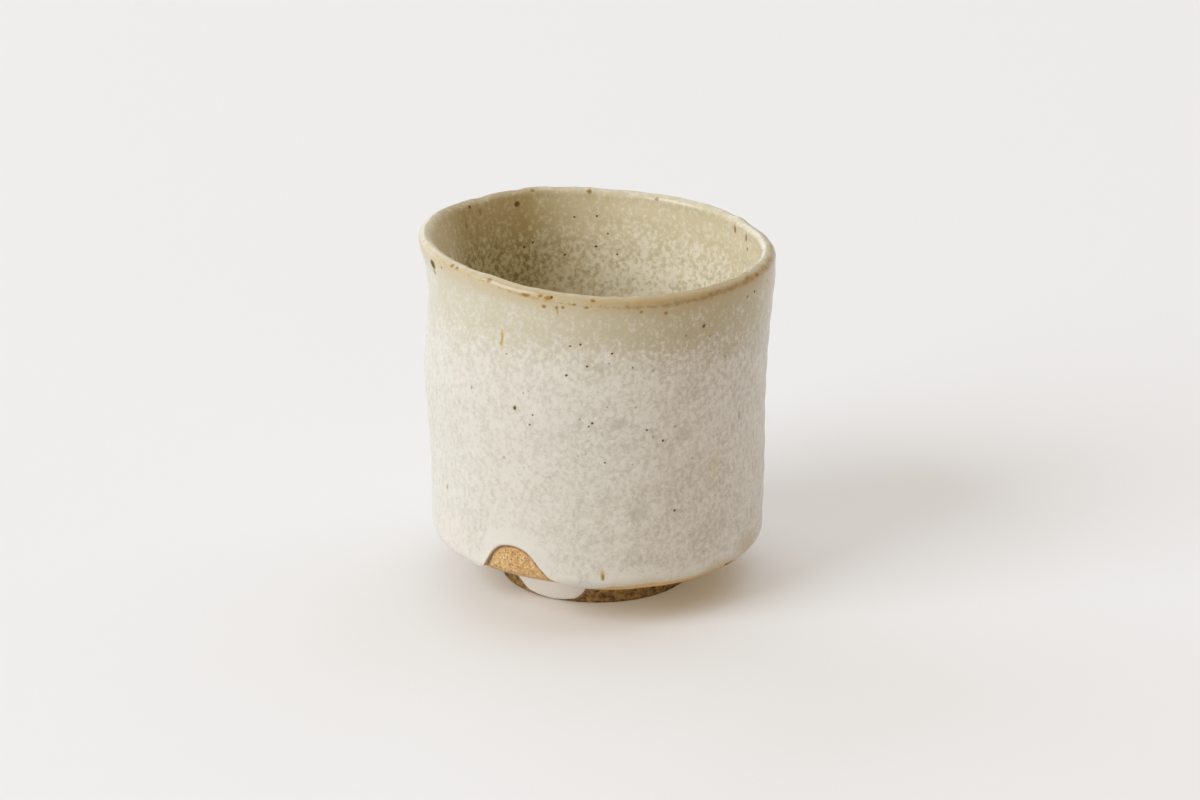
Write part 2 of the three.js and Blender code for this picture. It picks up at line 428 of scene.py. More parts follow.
def glaze_section():
    """Reach and depth round the glaze: its face, its rounded edge and its back on the clay."""
    face = spread(FLOOR_REACH, -LIP_ZONE, INSIDE_STEP)
    face += spread(-LIP_ZONE, LIP_ZONE, LIP_STEP)
    face += spread(LIP_ZONE, EDGE_REACH - EDGE_ZONE, WALL_STEP)
    face += spread(EDGE_REACH - EDGE_ZONE, EDGE_REACH - GLAZE_EDGE_ROUND, EDGE_STEP)
    edge = [
        (EDGE_REACH - GLAZE_EDGE_ROUND * (1 - sin(turn)), GLAZE_DEPTH * (1 - cos(turn)))
        for turn in spread(0, QUARTER, EDGE_TURN) + [QUARTER]
    ]
    back = spread(EDGE_REACH - EDGE_ZONE, LIP_ZONE, BACK_STEP)
    back += spread(LIP_ZONE, -LIP_ZONE, BACK_LIP_STEP)
    back += spread(-LIP_ZONE, FLOOR_REACH, BACK_STEP) + [FLOOR_REACH]
    return [(reach, 0) for reach in face] + edge + [(reach, GLAZE_DEPTH) for reach in back]


# How much iron the glaze shows, and where it is also painted shade: a little everywhere, and two humps of
# azimuth, rise and spread. The humps fall on the outside's front right, which is turned from the key
# light, and on the inside's back left, which lies in the lip's shade, so the darker, browner tones they
# bring are partly iron and partly painted shade.
IRON_LEAST = 0.2
IRON_AND_SHADE_HUMPS = [
    (radians(-52), 0.78, radians(43)),
    (radians(133), 1.05, radians(27)),
]
IRON_MIDDLE = 0.5  # in the middle of the floor
GOLD_START = -0.3  # the golden tone starts at the crest of the lip
GOLD_LEAN = 1.5  # and this much further down on the right, less so towards the front
GOLD_FRONT = 0.8
GOLD_EASE = 1.2
GOLD_OUTSIDE = 7  # and has faded out this far down the outside
GOLD_FADE = 4.8
LINE_REACH = 2  # the brown line under the lip, and how far it wanders up and down
LINE_WANDER = 1
LINE_CREST = radians(-88)
LINE_HALF_WIDTHS = 0.6, 1.2  # with little iron and with much
TRACES = ["reach", "edge", "thin", "iron", "gold", "line"]


def iron_and_shade_at(reach, azimuth):
    """How much iron shows, and with it painted shade, which evens out in the middle of the floor."""
    iron = min(IRON_LEAST + humps(azimuth, IRON_AND_SHADE_HUMPS), 1)
    return mix(IRON_MIDDLE, iron, smooth(on_face(reach).x / FLOOR_RADIUS))


def gold_at(reach, azimuth):
    """How golden the lip is."""
    lean = max(cos(azimuth), 0) * smooth(1 + sin(azimuth) / GOLD_FRONT)
    start = GOLD_START + GOLD_LEAN * lean
    return smooth((GOLD_OUTSIDE - reach) / GOLD_FADE) * smooth((reach - start) / GOLD_EASE)


def line_at(reach, azimuth, iron):
    """How far the brown line is, as a share of its half width, and further where there is little iron."""
    away = abs(reach - LINE_REACH - LINE_WANDER * cos(2 * (azimuth - LINE_CREST)))
    return away / mix(*LINE_HALF_WIDTHS, iron) + (1 - iron) / 2


def glaze_skin():
    """The coat of glaze, with what its material reads kept on its points."""
    section = glaze_section()
    shape, number = spun([on_face(*point) for point in section])
    layers = [shape.verts.layers.float.new(trace) for trace in TRACES]
    for point in shape.verts:
        reach, depth = section[point[number]]
        azimuth = azimuth_of(point)
        felt = smooth(1 - (EDGE_REACH - reach) / EDGE_FADE)
        reach += felt * (edge_reach(azimuth) - EDGE_REACH)
        edge = (rim_reach(azimuth) - reach) / edge_slant(azimuth)
        thin = thinness(azimuth)
        bead = mix(GLAZE_BEAD, GLAZE_BEAD + THIN_BEAD, thin) * exp(-((edge / GLAZE_BEAD_WIDTH) ** 2))
        bead *= 1 - depth / GLAZE_DEPTH
        point.co = on_glaze(reach, azimuth, depth - bead)
        edge -= THIN_TOAST * thin
        # How much iron shows, which on the outside's front right and the inside's back left also paints
        # shade into the glaze's colours.
        iron = iron_and_shade_at(reach, azimuth)
        traced = [reach, edge, thin, iron, gold_at(reach, azimuth), line_at(reach, azimuth, iron)]
        for layer, value in zip(layers, traced):
            point[layer] = value
    made = piece("glaze_skin", shape, ash_glaze(), "outer_glaze", "lip_glaze", "inner_glaze")


CLAY_GRAIN = 0.07  # height of the grains where the clay is bare
CLAY_GRAIN_SIZES = 0.9, 2.7
ARCH_MARGIN = 3

# Steps of the clay's mesh: fine where it is bare, coarse under the glaze.
HIDDEN_STEP = 4
HIDDEN_LIP_STEP = 0.9
BARE_STEP = 0.5
UNDERSIDE_STEP = 0.9


def clay_body():
    """The thrown clay under the glaze, with its distance from the glaze's edge kept on its points."""
    arch = outside_reach(BITE_TOP + ARCH_MARGIN)
    turned_under = outside_reach(UNDERSIDE)
    line = spread(FLOOR_REACH, -LIP_ZONE, HIDDEN_STEP)
    line += spread(-LIP_ZONE, LIP_ZONE, HIDDEN_LIP_STEP)
    line += spread(LIP_ZONE, arch, HIDDEN_STEP) + spread(arch, turned_under, BARE_STEP)
    line += spread(turned_under, UNDERSIDE_REACH, UNDERSIDE_STEP) + [UNDERSIDE_REACH]
    shape, number = spun([on_face(reach, COAT) for reach in line])
    edge_layer = shape.verts.layers.float.new("edge")
    for point in shape.verts:
        reach = line[point[number]]
        azimuth = azimuth_of(point)
        edge = (reach - edge_reach(azimuth)) / edge_slant(azimuth)
        place = thrown(*on_face(reach, COAT), azimuth)
        grain = sum(noise.noise(place / size) for size in CLAY_GRAIN_SIZES)
        bare = smooth(edge + 1)
        radius, height = on_face(reach, COAT - CLAY_GRAIN * grain * bare)
        point.co = fired(radius, height, azimuth)
        point[edge_layer] = edge
    made = piece("stoneware_body", shape, bare_stoneware(), "clay_body")


def foot_radius(height):
    """The outside of the foot ring, with its fillet under the body."""
    fillet = FOOT_FILLET * smooth((height - FOOT_HEIGHT + 2 * FOOT_FILLET) / (2 * FOOT_FILLET)) ** 2
    return FOOT_RADIUS + FOOT_FLARE * height / FOOT_HEIGHT + fillet


# Steps of the foot ring's mesh, and of its rounded corners in radians.
BORE_STEP = 0.7
TABLE_STEP = 0.6
FOOT_STEP = 0.35
FOOT_TOP_STEP = 1.5
FOOT_TURN = 0.4


def foot_section():
    """The foot ring's section, down its bore, across the table face and up its outside."""
    top = FOOT_HEIGHT + GLAZE_SUNK
    section = [(FOOT_BORE, height) for height in spread(top, FOOT_ROUND, BORE_STEP)]
    for turn in spread(pi, 3 * QUARTER, FOOT_TURN):
        section.append((FOOT_BORE + FOOT_ROUND * (1 + cos(turn)), FOOT_ROUND * (1 + sin(turn))))
    table = spread(FOOT_BORE + FOOT_ROUND, FOOT_RADIUS - FOOT_ROUND, TABLE_STEP)
    section += [(radius, 0) for radius in table]
    for turn in spread(-QUARTER, 0, FOOT_TURN):
        section.append((FOOT_RADIUS - FOOT_ROUND * (1 - cos(turn)), FOOT_ROUND * (1 + sin(turn))))
    section += [(foot_radius(height), height) for height in spread(FOOT_ROUND, top, FOOT_STEP)]
    section += [(radius, top) for radius in spread(foot_radius(top), FOOT_BORE, FOOT_TOP_STEP)]
    return section + [section[0]]


def on_foot(radius, height, azimuth):
    """The place of a point of the cut foot ring: the knife strays, and the coarse clay tears."""
    place = thrown(radius, height, azimuth)
    stray = FOOT_CUT * noise.noise(place / FOOT_CUT_SIZE)
    tear = FOOT_GRAIN * sum(noise.noise(place / size) for size in FOOT_GRAIN_SIZES)
    worn = smooth(height / FOOT_ROUND)
    outwards = 1 if radius > FOOT_RADIUS - FOOT_WALL / 2 else -1
    return fired(radius + outwards * worn * (stray + tear), max(height, 0), azimuth)


def foot_ring():
    """The ring that the cup stands on."""
    section = foot_section()
    shape, number = spun(section)
    for point in shape.verts:
        radius, height = section[point[number]]
        point.co = on_foot(radius, height, azimuth_of(point))
    made = piece("cut_foot_ring", shape, foot_stoneware(), "foot_ring")


def white_dab():
    """A flat patch with round corners, laid on the foot ring and thickened."""
    shape = bmesh.new()
    columns, rows = DAB_SEGMENTS
    bmesh.ops.create_grid(shape, x_segments=columns, y_segments=rows, size=1)
    for point in shape.verts:
        x, y = point.co.x, point.co.y
        across, up = x * sqrt(1 - y * y / DAB_CORNERS), y * sqrt(1 - x * x / DAB_CORNERS)
        height = mix(DAB_LIFT, FOOT_HEIGHT - DAB_GAP, (up + 1) / 2)
        half = DAB_WIDTH / 2 * (1 - DAB_TAPER * (1 - up))
        azimuth = DAB_AZIMUTH + across * half / FOOT_RADIUS
        rim = max(abs(x), abs(y))
        swell = DAB_THICK * sqrt(max(1 - rim**DAB_FLATNESS, 0))
        point.co = on_foot(foot_radius(height) + swell - DAB_SUNK, height, azimuth)
    bmesh.ops.recalc_face_normals(shape, faces=shape.faces)
    bmesh.ops.solidify(shape, geom=shape.faces[:], thickness=DAB_SHELL * MM)
    made = piece("white_dab", shape, matt_white_glaze(), "foot_glaze")


# Materials.


def linear(code):
    """An sRGB hex colour as linear RGBA."""
    parts = [int(code[i : i + 2], 16) / 255 for i in (1, 3, 5)]
    return [c / 12.92 if c <= 0.04045 else ((c + 0.055) / 1.055) ** 2.4 for c in parts] + [1]


def per(size):
    """A texture's scale for a pattern of this size in millimetres."""
    return 1 / (size * MM)


def add(tree, kind, *inputs, **settings):
    """Adds a node with its settings, fills its live inputs in order and gives its first live output."""
    node = tree.nodes.new("ShaderNode" + kind)
    for name, value in settings.items():
        setattr(node, name, value)
    for socket, value in zip([socket for socket in node.inputs if socket.enabled], inputs):
        if isinstance(value, bpy.types.NodeSocket):
            tree.links.new(value, socket)
        elif value is not None:
            socket.default_value = value
    return next((socket for socket in node.outputs if socket.enabled), None)


def new_material(name):
    """A material, its node tree and its Object coordinates."""
    material = bpy.data.materials.new(name)
    material.use_nodes = True
    tree = material.node_tree
    tree.nodes.clear()
    return material, tree, add(tree, "TexCoord").node.outputs["Object"]


# Settings of nodes.
COLOUR = {"data_type": "RGBA"}
EASED = {"interpolation_type": "SMOOTHSTEP"}
TIMES_PLUS = {"operation": "MULTIPLY_ADD"}
CELLS = {"feature": "F1"}

# Detail and roughness of a noise.
FINE = 1, 0.5
SOFT = 2, 0.5
DIMPLED = 3, 0.55
BROKEN = 3, 0.6
TORN = 4, 0.75

# Fired clay and glaze are no metals, bend light as glass does and are opaque.
METALLIC = 0
IOR = 1.5
ALPHA = 1

# Colours of the ash glaze, on the outside and on the inside.
# The first of each pair is where it holds little iron, the second where it holds much. Much iron lies
# where the glaze is in shade, on the outside's front right and the inside's back left, so the second
# colours there are partly painted shade.
MILK = "#dad5c8", "#d9d0c0"
BEIGE = "#c7bfad", "#b7aa98"  # between the curds
TAN = "#cec5ab", "#b09f78"  # thin glaze
# On the inside the first colours fall on the lit right and the second, much darker, on the shaded back
# left: iron and painted shade together.
MILK_INSIDE = "#f5eedc", "#c1b489"
BEIGE_INSIDE = "#d4c6a0", "#836e3d"
TAN_INSIDE = "#e4d9b9", "#a8925f"
GOLD = "#c9b58c", "#ad9058"  # on the lip
RUST = "#b57f3b", "#8d6a38"  # the broken line under it
SPECK = "#6b5233"
EDGE_BROWN = "#a07330"
EDGE_GOLD = "#cda257"
EDGE_TAN = "#b39a62"

# Sizes in its pattern, in millimetres.
CLOUD = 14
PATCH = 5
CURD = 1.05
FLECK = 0.4
DASH = 1.6
SPECK_CELL = 4.5
DIMPLE = 2.4
RAGGED_SIZE = 0.9
RAGGED = 0.4  # how far the rims of its marks stray
GLAZE_RELIEF = 0.05
GLAZE_BUMP = 0.45
DRAWN_DOWN = (1, 1, 0.9)  # the melt ran down a little

# Ranges in its pattern: from, to, least and most.
INSIDE = 1, -3, 0, 1  # by reach
THICK = 15, 30, 0, 1  # by distance from the lip
GATHERED = 6, 1.5, 0, 0.25  # by distance from the edge
COARSE = 0.2, 0.8, -0.18, 0.18  # curds of the inside
WHITE = 0.76, 1.42, 0, 1
GILT = 0.7, 1.3, 0.35, 1
DASHED = 2.1, 1.1, 0, 0.8
SPECKED = 0.06, 0.04, 0, 0.7
TOASTED = 0.95, 0.4, 0, 0.85  # by distance from the edge
WARMED = 3, 0.5, 0, 0.3
SATIN = 0, 1, 0.28, 0.44  # roughness by thickness

# How much one pattern adds to another.
INSIDE_TO_THICK = 5
CLOUD_TO_THICK = 9
CURD_TO_THICK = 3
FLECK_TO_WHITE = 0.5
PATCH_TO_WHITE = 0.4
THICK_TO_WHITE = 0.28
IRON_TO_WHITE = -0.1
NOISE_TO_DASH = 2.6
CELL_TO_SPECK = 0.1
PATCH_TO_TOAST = 0.8
SPOT_TO_ROUGH = 0.5
WHITE_TO_HEIGHT = 0.4
SPECK_TO_HEIGHT = -1.5

# Marks that can be told one from another: azimuth in degrees, reach, half width, half height.
BLUSH = [(-151.8, 64.3, 9, 6)]
STAINS = [
    (-47.2, 42.4, 2.6, 3.2),
    (-123.4, 18.2, 0.5, 3.2),
    (86.3, -2.8, 0.8, 1.6),
    (92.6, -2.4, 1.2, 1.4),
]
TAN_STAINS = [(-27, 66.4, 6, 3.4), (-42, 68.2, 8, 2.2)]
SHADES = [
    (-76.2, 51.5, 3, 2.4),
    (-82.2, 30.2, 2.2, 1.6),
    (-60, 33.8, 2.6, 2),
]
RUNS = [
    (-123.6, 14.0, 0.42, 2),
    (-123.9, 15.3, 0.45, 0.5),
    (-103, 5.1, 0.3, 1.4),
    (-88.2, 65.9, 0.45, 1.4),
    (-152.5, 54.0, 0.4, 0.7),
]
FAINT_SPOTS = [
    (-121.8, 17.3, 0.3, 0.25),
    (-95, 29.5, 0.3, 0.3),
    (-121.8, 41.1, 0.28, 0.28),
    (-95.8, 38.1, 0.22, 0.22),
    (-93.2, 37.5, 0.22, 0.22),
    (-112.8, 24.6, 0.2, 0.2),
    (-114.5, 25.2, 0.24, 0.3),
    (-135.2, 27.2, 0.3, 0.5),
    (-87, 16.4, 0.3, 0.3),
    (-72.2, 18.2, 0.32, 0.28),
    (-61.5, 10.8, 0.3, 0.25),
    (-52, 11.9, 0.35, 0.3),
    (-44, 17.7, 0.4, 0.3),
    (-77, 26.5, 0.32, 0.3),
    (-86.5, 26.3, 0.25, 0.25),
    (-63, 31.7, 0.35, 0.3),
    (-71, 33.6, 0.28, 0.3),
    (-34.3, 33.2, 0.4, 0.9),
    (-56.5, 39.9, 0.32, 0.3),
    (-78, 39.9, 0.25, 0.25),
]
SPOTS = [
    (-155.8, 3.8, 1.3, 1.1),
    (142, -1.8, 0.4, 0.45),
    (-38.5, 68.8, 0.7, 0.4),
    (-117.2, 28.9, 0.45, 0.5),
    (-91.0, 30.2, 0.3, 0.3),
    (-92.0, 31.0, 0.25, 0.25),
    (-73.0, 31.9, 0.3, 0.3),
    (-67.5, 34.7, 0.32, 0.32),
    (-63.3, 51.7, 0.32, 0.32),
    (-87.0, 39.4, 0.24, 0.24),
    (-110.8, 29.8, 0.26, 0.22),
    (-111.8, 32.1, 0.26, 0.26),
    (-100.5, 19.7, 0.3, 0.3),
    (-94.0, 17.3, 0.28, 0.3),
    (-96.5, 12.4, 0.26, 0.26),
    (-99.8, 13.0, 0.3, 0.26),
    (-86.2, 14.1, 0.28, 0.28),
    (-79.2, 17.3, 0.24, 0.24),
    (-54.8, 9.1, 0.4, 0.45),
    (-104.2, 1.8, 0.35, 0.35),
    (-30.2, 5, 0.35, 0.35),
    (120.7, -3.5, 0.75, 0.65),
    (91.0, -6.8, 0.3, 0.3),
    (99.5, -7.2, 0.26, 0.26),
    (91.7, -13.8, 0.4, 0.35),
    (120.2, -13.2, 0.35, 0.35),
    (116.5, -12.5, 0.3, 0.3),
    (103.5, -15.8, 0.28, 0.28),
    (83.5, -15.3, 0.28, 0.28),
    (87.3, -10.6, 0.25, 0.25),
]
BROWNS = [
    (-156.2, 5.5, 0.8, 0.8),
    (-88, 66.4, 0.28, 0.75),
    (-36.8, 68.9, 1.3, 0.6),
    (-112.8, 2.4, 1.1, 0.45),
    (-107.8, 1.9, 0.6, 0.35),
    (-105.4, 2.1, 0.9, 0.5),
    (-126, 1.6, 0.7, 0.5),
    (-149, 3.1, 0.35, 0.35),
    (-143, 1.4, 0.5, 0.4),
    (-140.5, 1.4, 0.45, 0.35),
    (-91.2, 1.6, 0.5, 0.3),
    (-76.5, 4.1, 0.4, 0.4),
    (-68.5, 4.8, 0.5, 0.45),
    (-107.2, 4.3, 0.55, 0.45),
    (-103, 4.1, 0.4, 0.4),
    (-101, 3.8, 0.4, 0.35),
    (-97.2, 2.8, 0.4, 0.3),
    (-93.5, 3.3, 0.5, 0.3),
    (-34.5, 5.4, 0.45, 0.4),
    (-19.5, 4.6, 0.4, 0.4),
    (-27.5, 1.7, 0.6, 0.4),
    (-32.8, 1.3, 0.6, 0.4),
    (-2.2, -1.1, 0.5, 0.4),
    (21.7, -5.6, 0.35, 0.5),
    (31, -3.2, 0.45, 0.9),
    (22.9, -3.2, 0.5, 1),
    (68, -1.6, 0.5, 0.4),
    (92.6, -1.3, 0.6, 0.6),
    (113.3, -1.1, 0.5, 0.45),
    (137.7, -3.4, 0.5, 0.8),
    (147, -5.4, 0.5, 0.9),
]
# The marks of a kind, their colour and how strong it is, and where it starts and is full,
# as shares of their size.
MARKS = [
    (BLUSH, "#e6d5ca", 0.45, 1.2, 0.1),
    (STAINS, "#c6b076", 0.3, 1.2, 0.2),
    (TAN_STAINS, "#b39a62", 0.5, 1.2, 0.2),
    (SHADES, "#a89e8b", 0.45, 1.2, 0.2),
    (RUNS, "#b8963c", 0.85, 1.25, 0.45),
    (FAINT_SPOTS, "#7d6545", 0.6, 1.3, 0.5),
    (BROWNS, "#956b10", 0.92, 1.45, 0.4),
    (SPOTS, "#5f4406", 1, 1.3, 0.55),
]


def nearest(tree, place, marks):
    """How far a place lies from the nearest mark, as a share of that mark's size."""
    found = None
    for azimuth, reach, half_width, half_height in marks:
        middle = on_glaze(reach, radians(azimuth))
        scale = Vector((per(half_width), per(half_width), per(half_height)))
        offset = Vector(-m * s for m, s in zip(middle, scale))
        away = add(tree, "VectorMath", place, scale, offset, **TIMES_PLUS)
        share = add(tree, "VectorMath", away, operation="LENGTH").node.outputs["Value"]
        found = share if found is None else add(tree, "Math", found, share, operation="MINIMUM")
    return found


def ash_glaze():
    """Ash glaze, dipped and fired to satin: soft cream curds over beige, toasted where it ran thin, and
    with painted shade in its darker iron tones.
    """
    material, tree, place = new_material("ash_glaze_dipped_and_fired")
    reach, edge, thin, iron, gold, line = (
        add(tree, "Attribute", attribute_name=trace).node.outputs["Fac"] for trace in TRACES
    )
    drawn = add(tree, "VectorMath", place, DRAWN_DOWN, operation="MULTIPLY")
    cloud, patch, curd = (
        add(tree, "TexNoise", drawn, per(size), *SOFT) for size in (CLOUD, PATCH, CURD)
    )
    fleck = add(tree, "TexNoise", place, per(FLECK), *FINE)
    inside = add(tree, "MapRange", reach, *INSIDE, **EASED)

    # Thin over the lip and thick below, where white curds come up.
    away = add(tree, "Math", reach, operation="ABSOLUTE")
    for pattern, weight in [
        (inside, INSIDE_TO_THICK),
        (cloud, CLOUD_TO_THICK),
        (curd, CURD_TO_THICK),
    ]:
        away = add(tree, "Math", pattern, weight, away, **TIMES_PLUS)
    thick = add(tree, "MapRange", away, *THICK, **EASED)
    curdled = curd
    for pattern, weight in [
        (fleck, FLECK_TO_WHITE),
        (patch, PATCH_TO_WHITE),
        (thick, THICK_TO_WHITE),
        (iron, IRON_TO_WHITE),
    ]:
        curdled = add(tree, "Math", pattern, weight, curdled, **TIMES_PLUS)
    gathered = add(tree, "MapRange", edge, *GATHERED, **EASED)
    curdled = add(tree, "Math", curdled, gathered, operation="ADD")
    coarse = add(tree, "MapRange", curd, *COARSE)
    curdled = add(tree, "Math", coarse, inside, curdled, **TIMES_PLUS)
    white = add(tree, "MapRange", curdled, *WHITE, **EASED)

    def toned(outer, inner):
        """A colour by how much iron there is, on the outside and on the inside, which also paints shade
        where the iron humps fall.
        """
        sides = (add(tree, "Mix", iron, *map(linear, pair), **COLOUR) for pair in (outer, inner))
        return add(tree, "Mix", inside, *sides, **COLOUR)

    # Where much iron shows, the darker ground and milk are partly painted shade, on the outside's front
    # right and the inside's back left.
    ground = add(tree, "Mix", thick, toned(TAN, TAN_INSIDE), toned(BEIGE, BEIGE_INSIDE), **COLOUR)
    colour = add(tree, "Mix", white, ground, toned(MILK, MILK_INSIDE), **COLOUR)

    # Iron: a golden lip, a broken line under it and specks all over.
    gilt = add(tree, "Math", patch, curd, operation="ADD")
    gilt = add(tree, "MapRange", gilt, *GILT)
    gilt = add(tree, "Math", gilt, gold, operation="MULTIPLY")
    colour = add(tree, "Mix", gilt, colour, toned(GOLD, GOLD), **COLOUR)
    dash = add(tree, "TexNoise", place, per(DASH), *BROKEN)
    dash = add(tree, "Math", dash, NOISE_TO_DASH, line, **TIMES_PLUS)
    dash = add(tree, "MapRange", dash, *DASHED, **EASED)
    colour = add(tree, "Mix", dash, colour, toned(RUST, RUST), **COLOUR)
    cell = add(tree, "TexVoronoi", place, per(SPECK_CELL), **CELLS).node.outputs
    speck = add(tree, "Math", cell["Color"], CELL_TO_SPECK, cell["Distance"], **TIMES_PLUS)
    speck = add(tree, "MapRange", speck, *SPECKED, **EASED)
    colour = add(tree, "Mix", speck, colour, linear(SPECK), **COLOUR)

    # Toasted where the coat thins out at its edge: brown, and golden where it ran.
    toast = add(tree, "Math", patch, PATCH_TO_TOAST, edge, **TIMES_PLUS)
    toast = add(tree, "MapRange", toast, *TOASTED, **EASED)
    toasted = add(tree, "Mix", thin, linear(EDGE_BROWN), linear(EDGE_GOLD), **COLOUR)
    warm = add(tree, "MapRange", edge, *WARMED, **EASED)
    warm = add(tree, "Math", warm, thin, operation="MULTIPLY")
    colour = add(tree, "Mix", warm, colour, linear(EDGE_TAN), **COLOUR)
    colour = add(tree, "Mix", toast, colour, toasted, **COLOUR)

    # Single marks, with ragged rims.
    ragged = add(tree, "TexNoise", place, per(RAGGED_SIZE), *SOFT).node.outputs["Color"]
    shaken = add(tree, "VectorMath", ragged, [RAGGED * MM] * 3, place, **TIMES_PLUS)
    shaken = add(tree, "VectorMath", shaken, [RAGGED * MM / 2] * 3, operation="SUBTRACT")
    for marks, tint, strength, start, full in MARKS:
        share = nearest(tree, shaken, marks)
        share = add(tree, "MapRange", share, start, full, 0, strength, **EASED)
        colour = add(tree, "Mix", share, colour, linear(tint), **COLOUR)

    # Satin, a little glossier where it is thin, and dry in the dark spots, which are the last marks.
    rough = add(tree, "MapRange", thick, *SATIN)
    rough = add(tree, "Math", share, SPOT_TO_ROUGH, rough, **TIMES_PLUS)
    dimple = add(tree, "TexNoise", place, per(DIMPLE), *DIMPLED)
    height = add(tree, "Math", white, WHITE_TO_HEIGHT, dimple, **TIMES_PLUS)
    height = add(tree, "Math", speck, SPECK_TO_HEIGHT, height, **TIMES_PLUS)
    normal = add(tree, "Bump", GLAZE_BUMP, GLAZE_RELIEF * MM, None, height)
    shader = add(tree, "BsdfPrincipled", colour, METALLIC, rough, IOR, ALPHA, normal)
    add(tree, "OutputMaterial", shader)
    return material


# The bare clay: its colours, its sizes in millimetres and its ranges.
CLAY_TONES = "#b6854c", "#d9b680"
CLAY_GROG = "#f0dbb6"
CLAY_IRON = "#8e4f26"
CLAY_TOAST = "#7d5328"
CLAY_CLOUD = 1.1
CLAY_GROG_CELL = 0.75
CLAY_IRON_CELL = 1.1
CLAY_TOOTH = 0.5
CLAY_CLOUDED = 0.35, 0.65, 0, 1
CLAY_GROGGED = 0.38, 0.14, 0, 0.8
CLAY_IRONED = 0.26, 0.12, 0, 0.8
CLAY_TOASTED = 0.9, 0, 0, 0.7  # by distance from the glaze's edge
CLAY_GROG_TO_HEIGHT = 0.6
CLAY_RELIEF = 0.15
CLAY_BUMP = 0.8
CLAY_ROUGH = 0.9


def bare_stoneware():
    """Bare orange stoneware, thrown and sponged: pale grog and iron specks in a dry face."""
    material, tree, place = new_material("stoneware_thrown_and_bare")
    edge = add(tree, "Attribute", attribute_name="edge").node.outputs["Fac"]
    cloud = add(tree, "TexNoise", place, per(CLAY_CLOUD), *TORN)
    cloud = add(tree, "MapRange", cloud, *CLAY_CLOUDED)
    colour = add(tree, "Mix", cloud, *map(linear, CLAY_TONES), **COLOUR)
    grog = add(tree, "TexVoronoi", place, per(CLAY_GROG_CELL), **CELLS)
    pale = add(tree, "MapRange", grog, *CLAY_GROGGED, **EASED)
    colour = add(tree, "Mix", pale, colour, linear(CLAY_GROG), **COLOUR)
    iron = add(tree, "TexVoronoi", place, per(CLAY_IRON_CELL), **CELLS)
    dark = add(tree, "MapRange", iron, *CLAY_IRONED, **EASED)
    colour = add(tree, "Mix", dark, colour, linear(CLAY_IRON), **COLOUR)
    toast = add(tree, "MapRange", edge, *CLAY_TOASTED, **EASED)
    colour = add(tree, "Mix", toast, colour, linear(CLAY_TOAST), **COLOUR)
    tooth = add(tree, "TexNoise", place, per(CLAY_TOOTH), *BROKEN)
    height = add(tree, "Math", pale, CLAY_GROG_TO_HEIGHT, tooth, **TIMES_PLUS)
    normal = add(tree, "Bump", CLAY_BUMP, CLAY_RELIEF * MM, None, height)
    shader = add(tree, "BsdfPrincipled", colour, METALLIC, CLAY_ROUGH, IOR, ALPHA, normal)
    add(tree, "OutputMaterial", shader)
    return material


# The clay of the foot ring, likewise.
FOOT_TONES = "#5a3d1a", "#c49a5a"
FOOT_GROG = "#cdb083"
FOOT_CLOUD = 1.5
FOOT_GROG_CELL = 0.9
FOOT_TOOTH = 0.7
FOOT_CLOUDED = 0.37, 0.66, 0, 1
FOOT_GROGGED = 0.28, 0.15, 0, 0.7
FOOT_GROG_TO_HEIGHT = 0.5
FOOT_RELIEF = 0.25
FOOT_BUMP = 0.9
FOOT_ROUGH = 0.92


def foot_stoneware():
    """Toasted coarse stoneware, cut with a knife: dark and light grains, torn and dry."""
    material, tree, place = new_material("stoneware_knife_cut_and_toasted")
    cloud = add(tree, "TexNoise", place, per(FOOT_CLOUD), *TORN)
    cloud = add(tree, "MapRange", cloud, *FOOT_CLOUDED)
    colour = add(tree, "Mix", cloud, *map(linear, FOOT_TONES), **COLOUR)
    grog = add(tree, "TexVoronoi", place, per(FOOT_GROG_CELL), **CELLS)
    pale = add(tree, "MapRange", grog, *FOOT_GROGGED, **EASED)
    colour = add(tree, "Mix", pale, colour, linear(FOOT_GROG), **COLOUR)
    tooth = add(tree, "TexNoise", place, per(FOOT_TOOTH), *BROKEN)
    height = add(tree, "Math", pale, FOOT_GROG_TO_HEIGHT, tooth, **TIMES_PLUS)
    normal = add(tree, "Bump", FOOT_BUMP, FOOT_RELIEF * MM, None, height)
    shader = add(tree, "BsdfPrincipled", colour, METALLIC, FOOT_ROUGH, IOR, ALPHA, normal)
    add(tree, "OutputMaterial", shader)
    return material


# The white glaze of the dab.
DAB_TONES = "#f2ebdf", "#f9f3e8"
DAB_CLOUD = 3
DAB_TOOTH = 0.8
DAB_RELIEF = 0.05
DAB_BUMP = 0.4
DAB_ROUGH = 0.65


def matt_white_glaze():
    """Matt white glaze, dabbed on thick: dry, with faint warm clouds."""
    material, tree, place = new_material("white_glaze_dabbed_and_matt")
    cloud = add(tree, "TexNoise", place, per(DAB_CLOUD), *DIMPLED)
    colour = add(tree, "Mix", cloud, *map(linear, DAB_TONES), **COLOUR)
    tooth = add(tree, "TexNoise", place, per(DAB_TOOTH), *SOFT)
    normal = add(tree, "Bump", DAB_BUMP, DAB_RELIEF * MM, None, tooth)
    shader = add(tree, "BsdfPrincipled", colour, METALLIC, DAB_ROUGH, IOR, ALPHA, normal)
    add(tree, "OutputMaterial", shader)
    return material


PAPER = "#edeff2"
PAPER_GLOW = "#e2caa4"
GLOW_SHARE = 0.2
PAPER_CLOUD = 300
PAPER_ROUGH = 0, 1, 0.9, 1


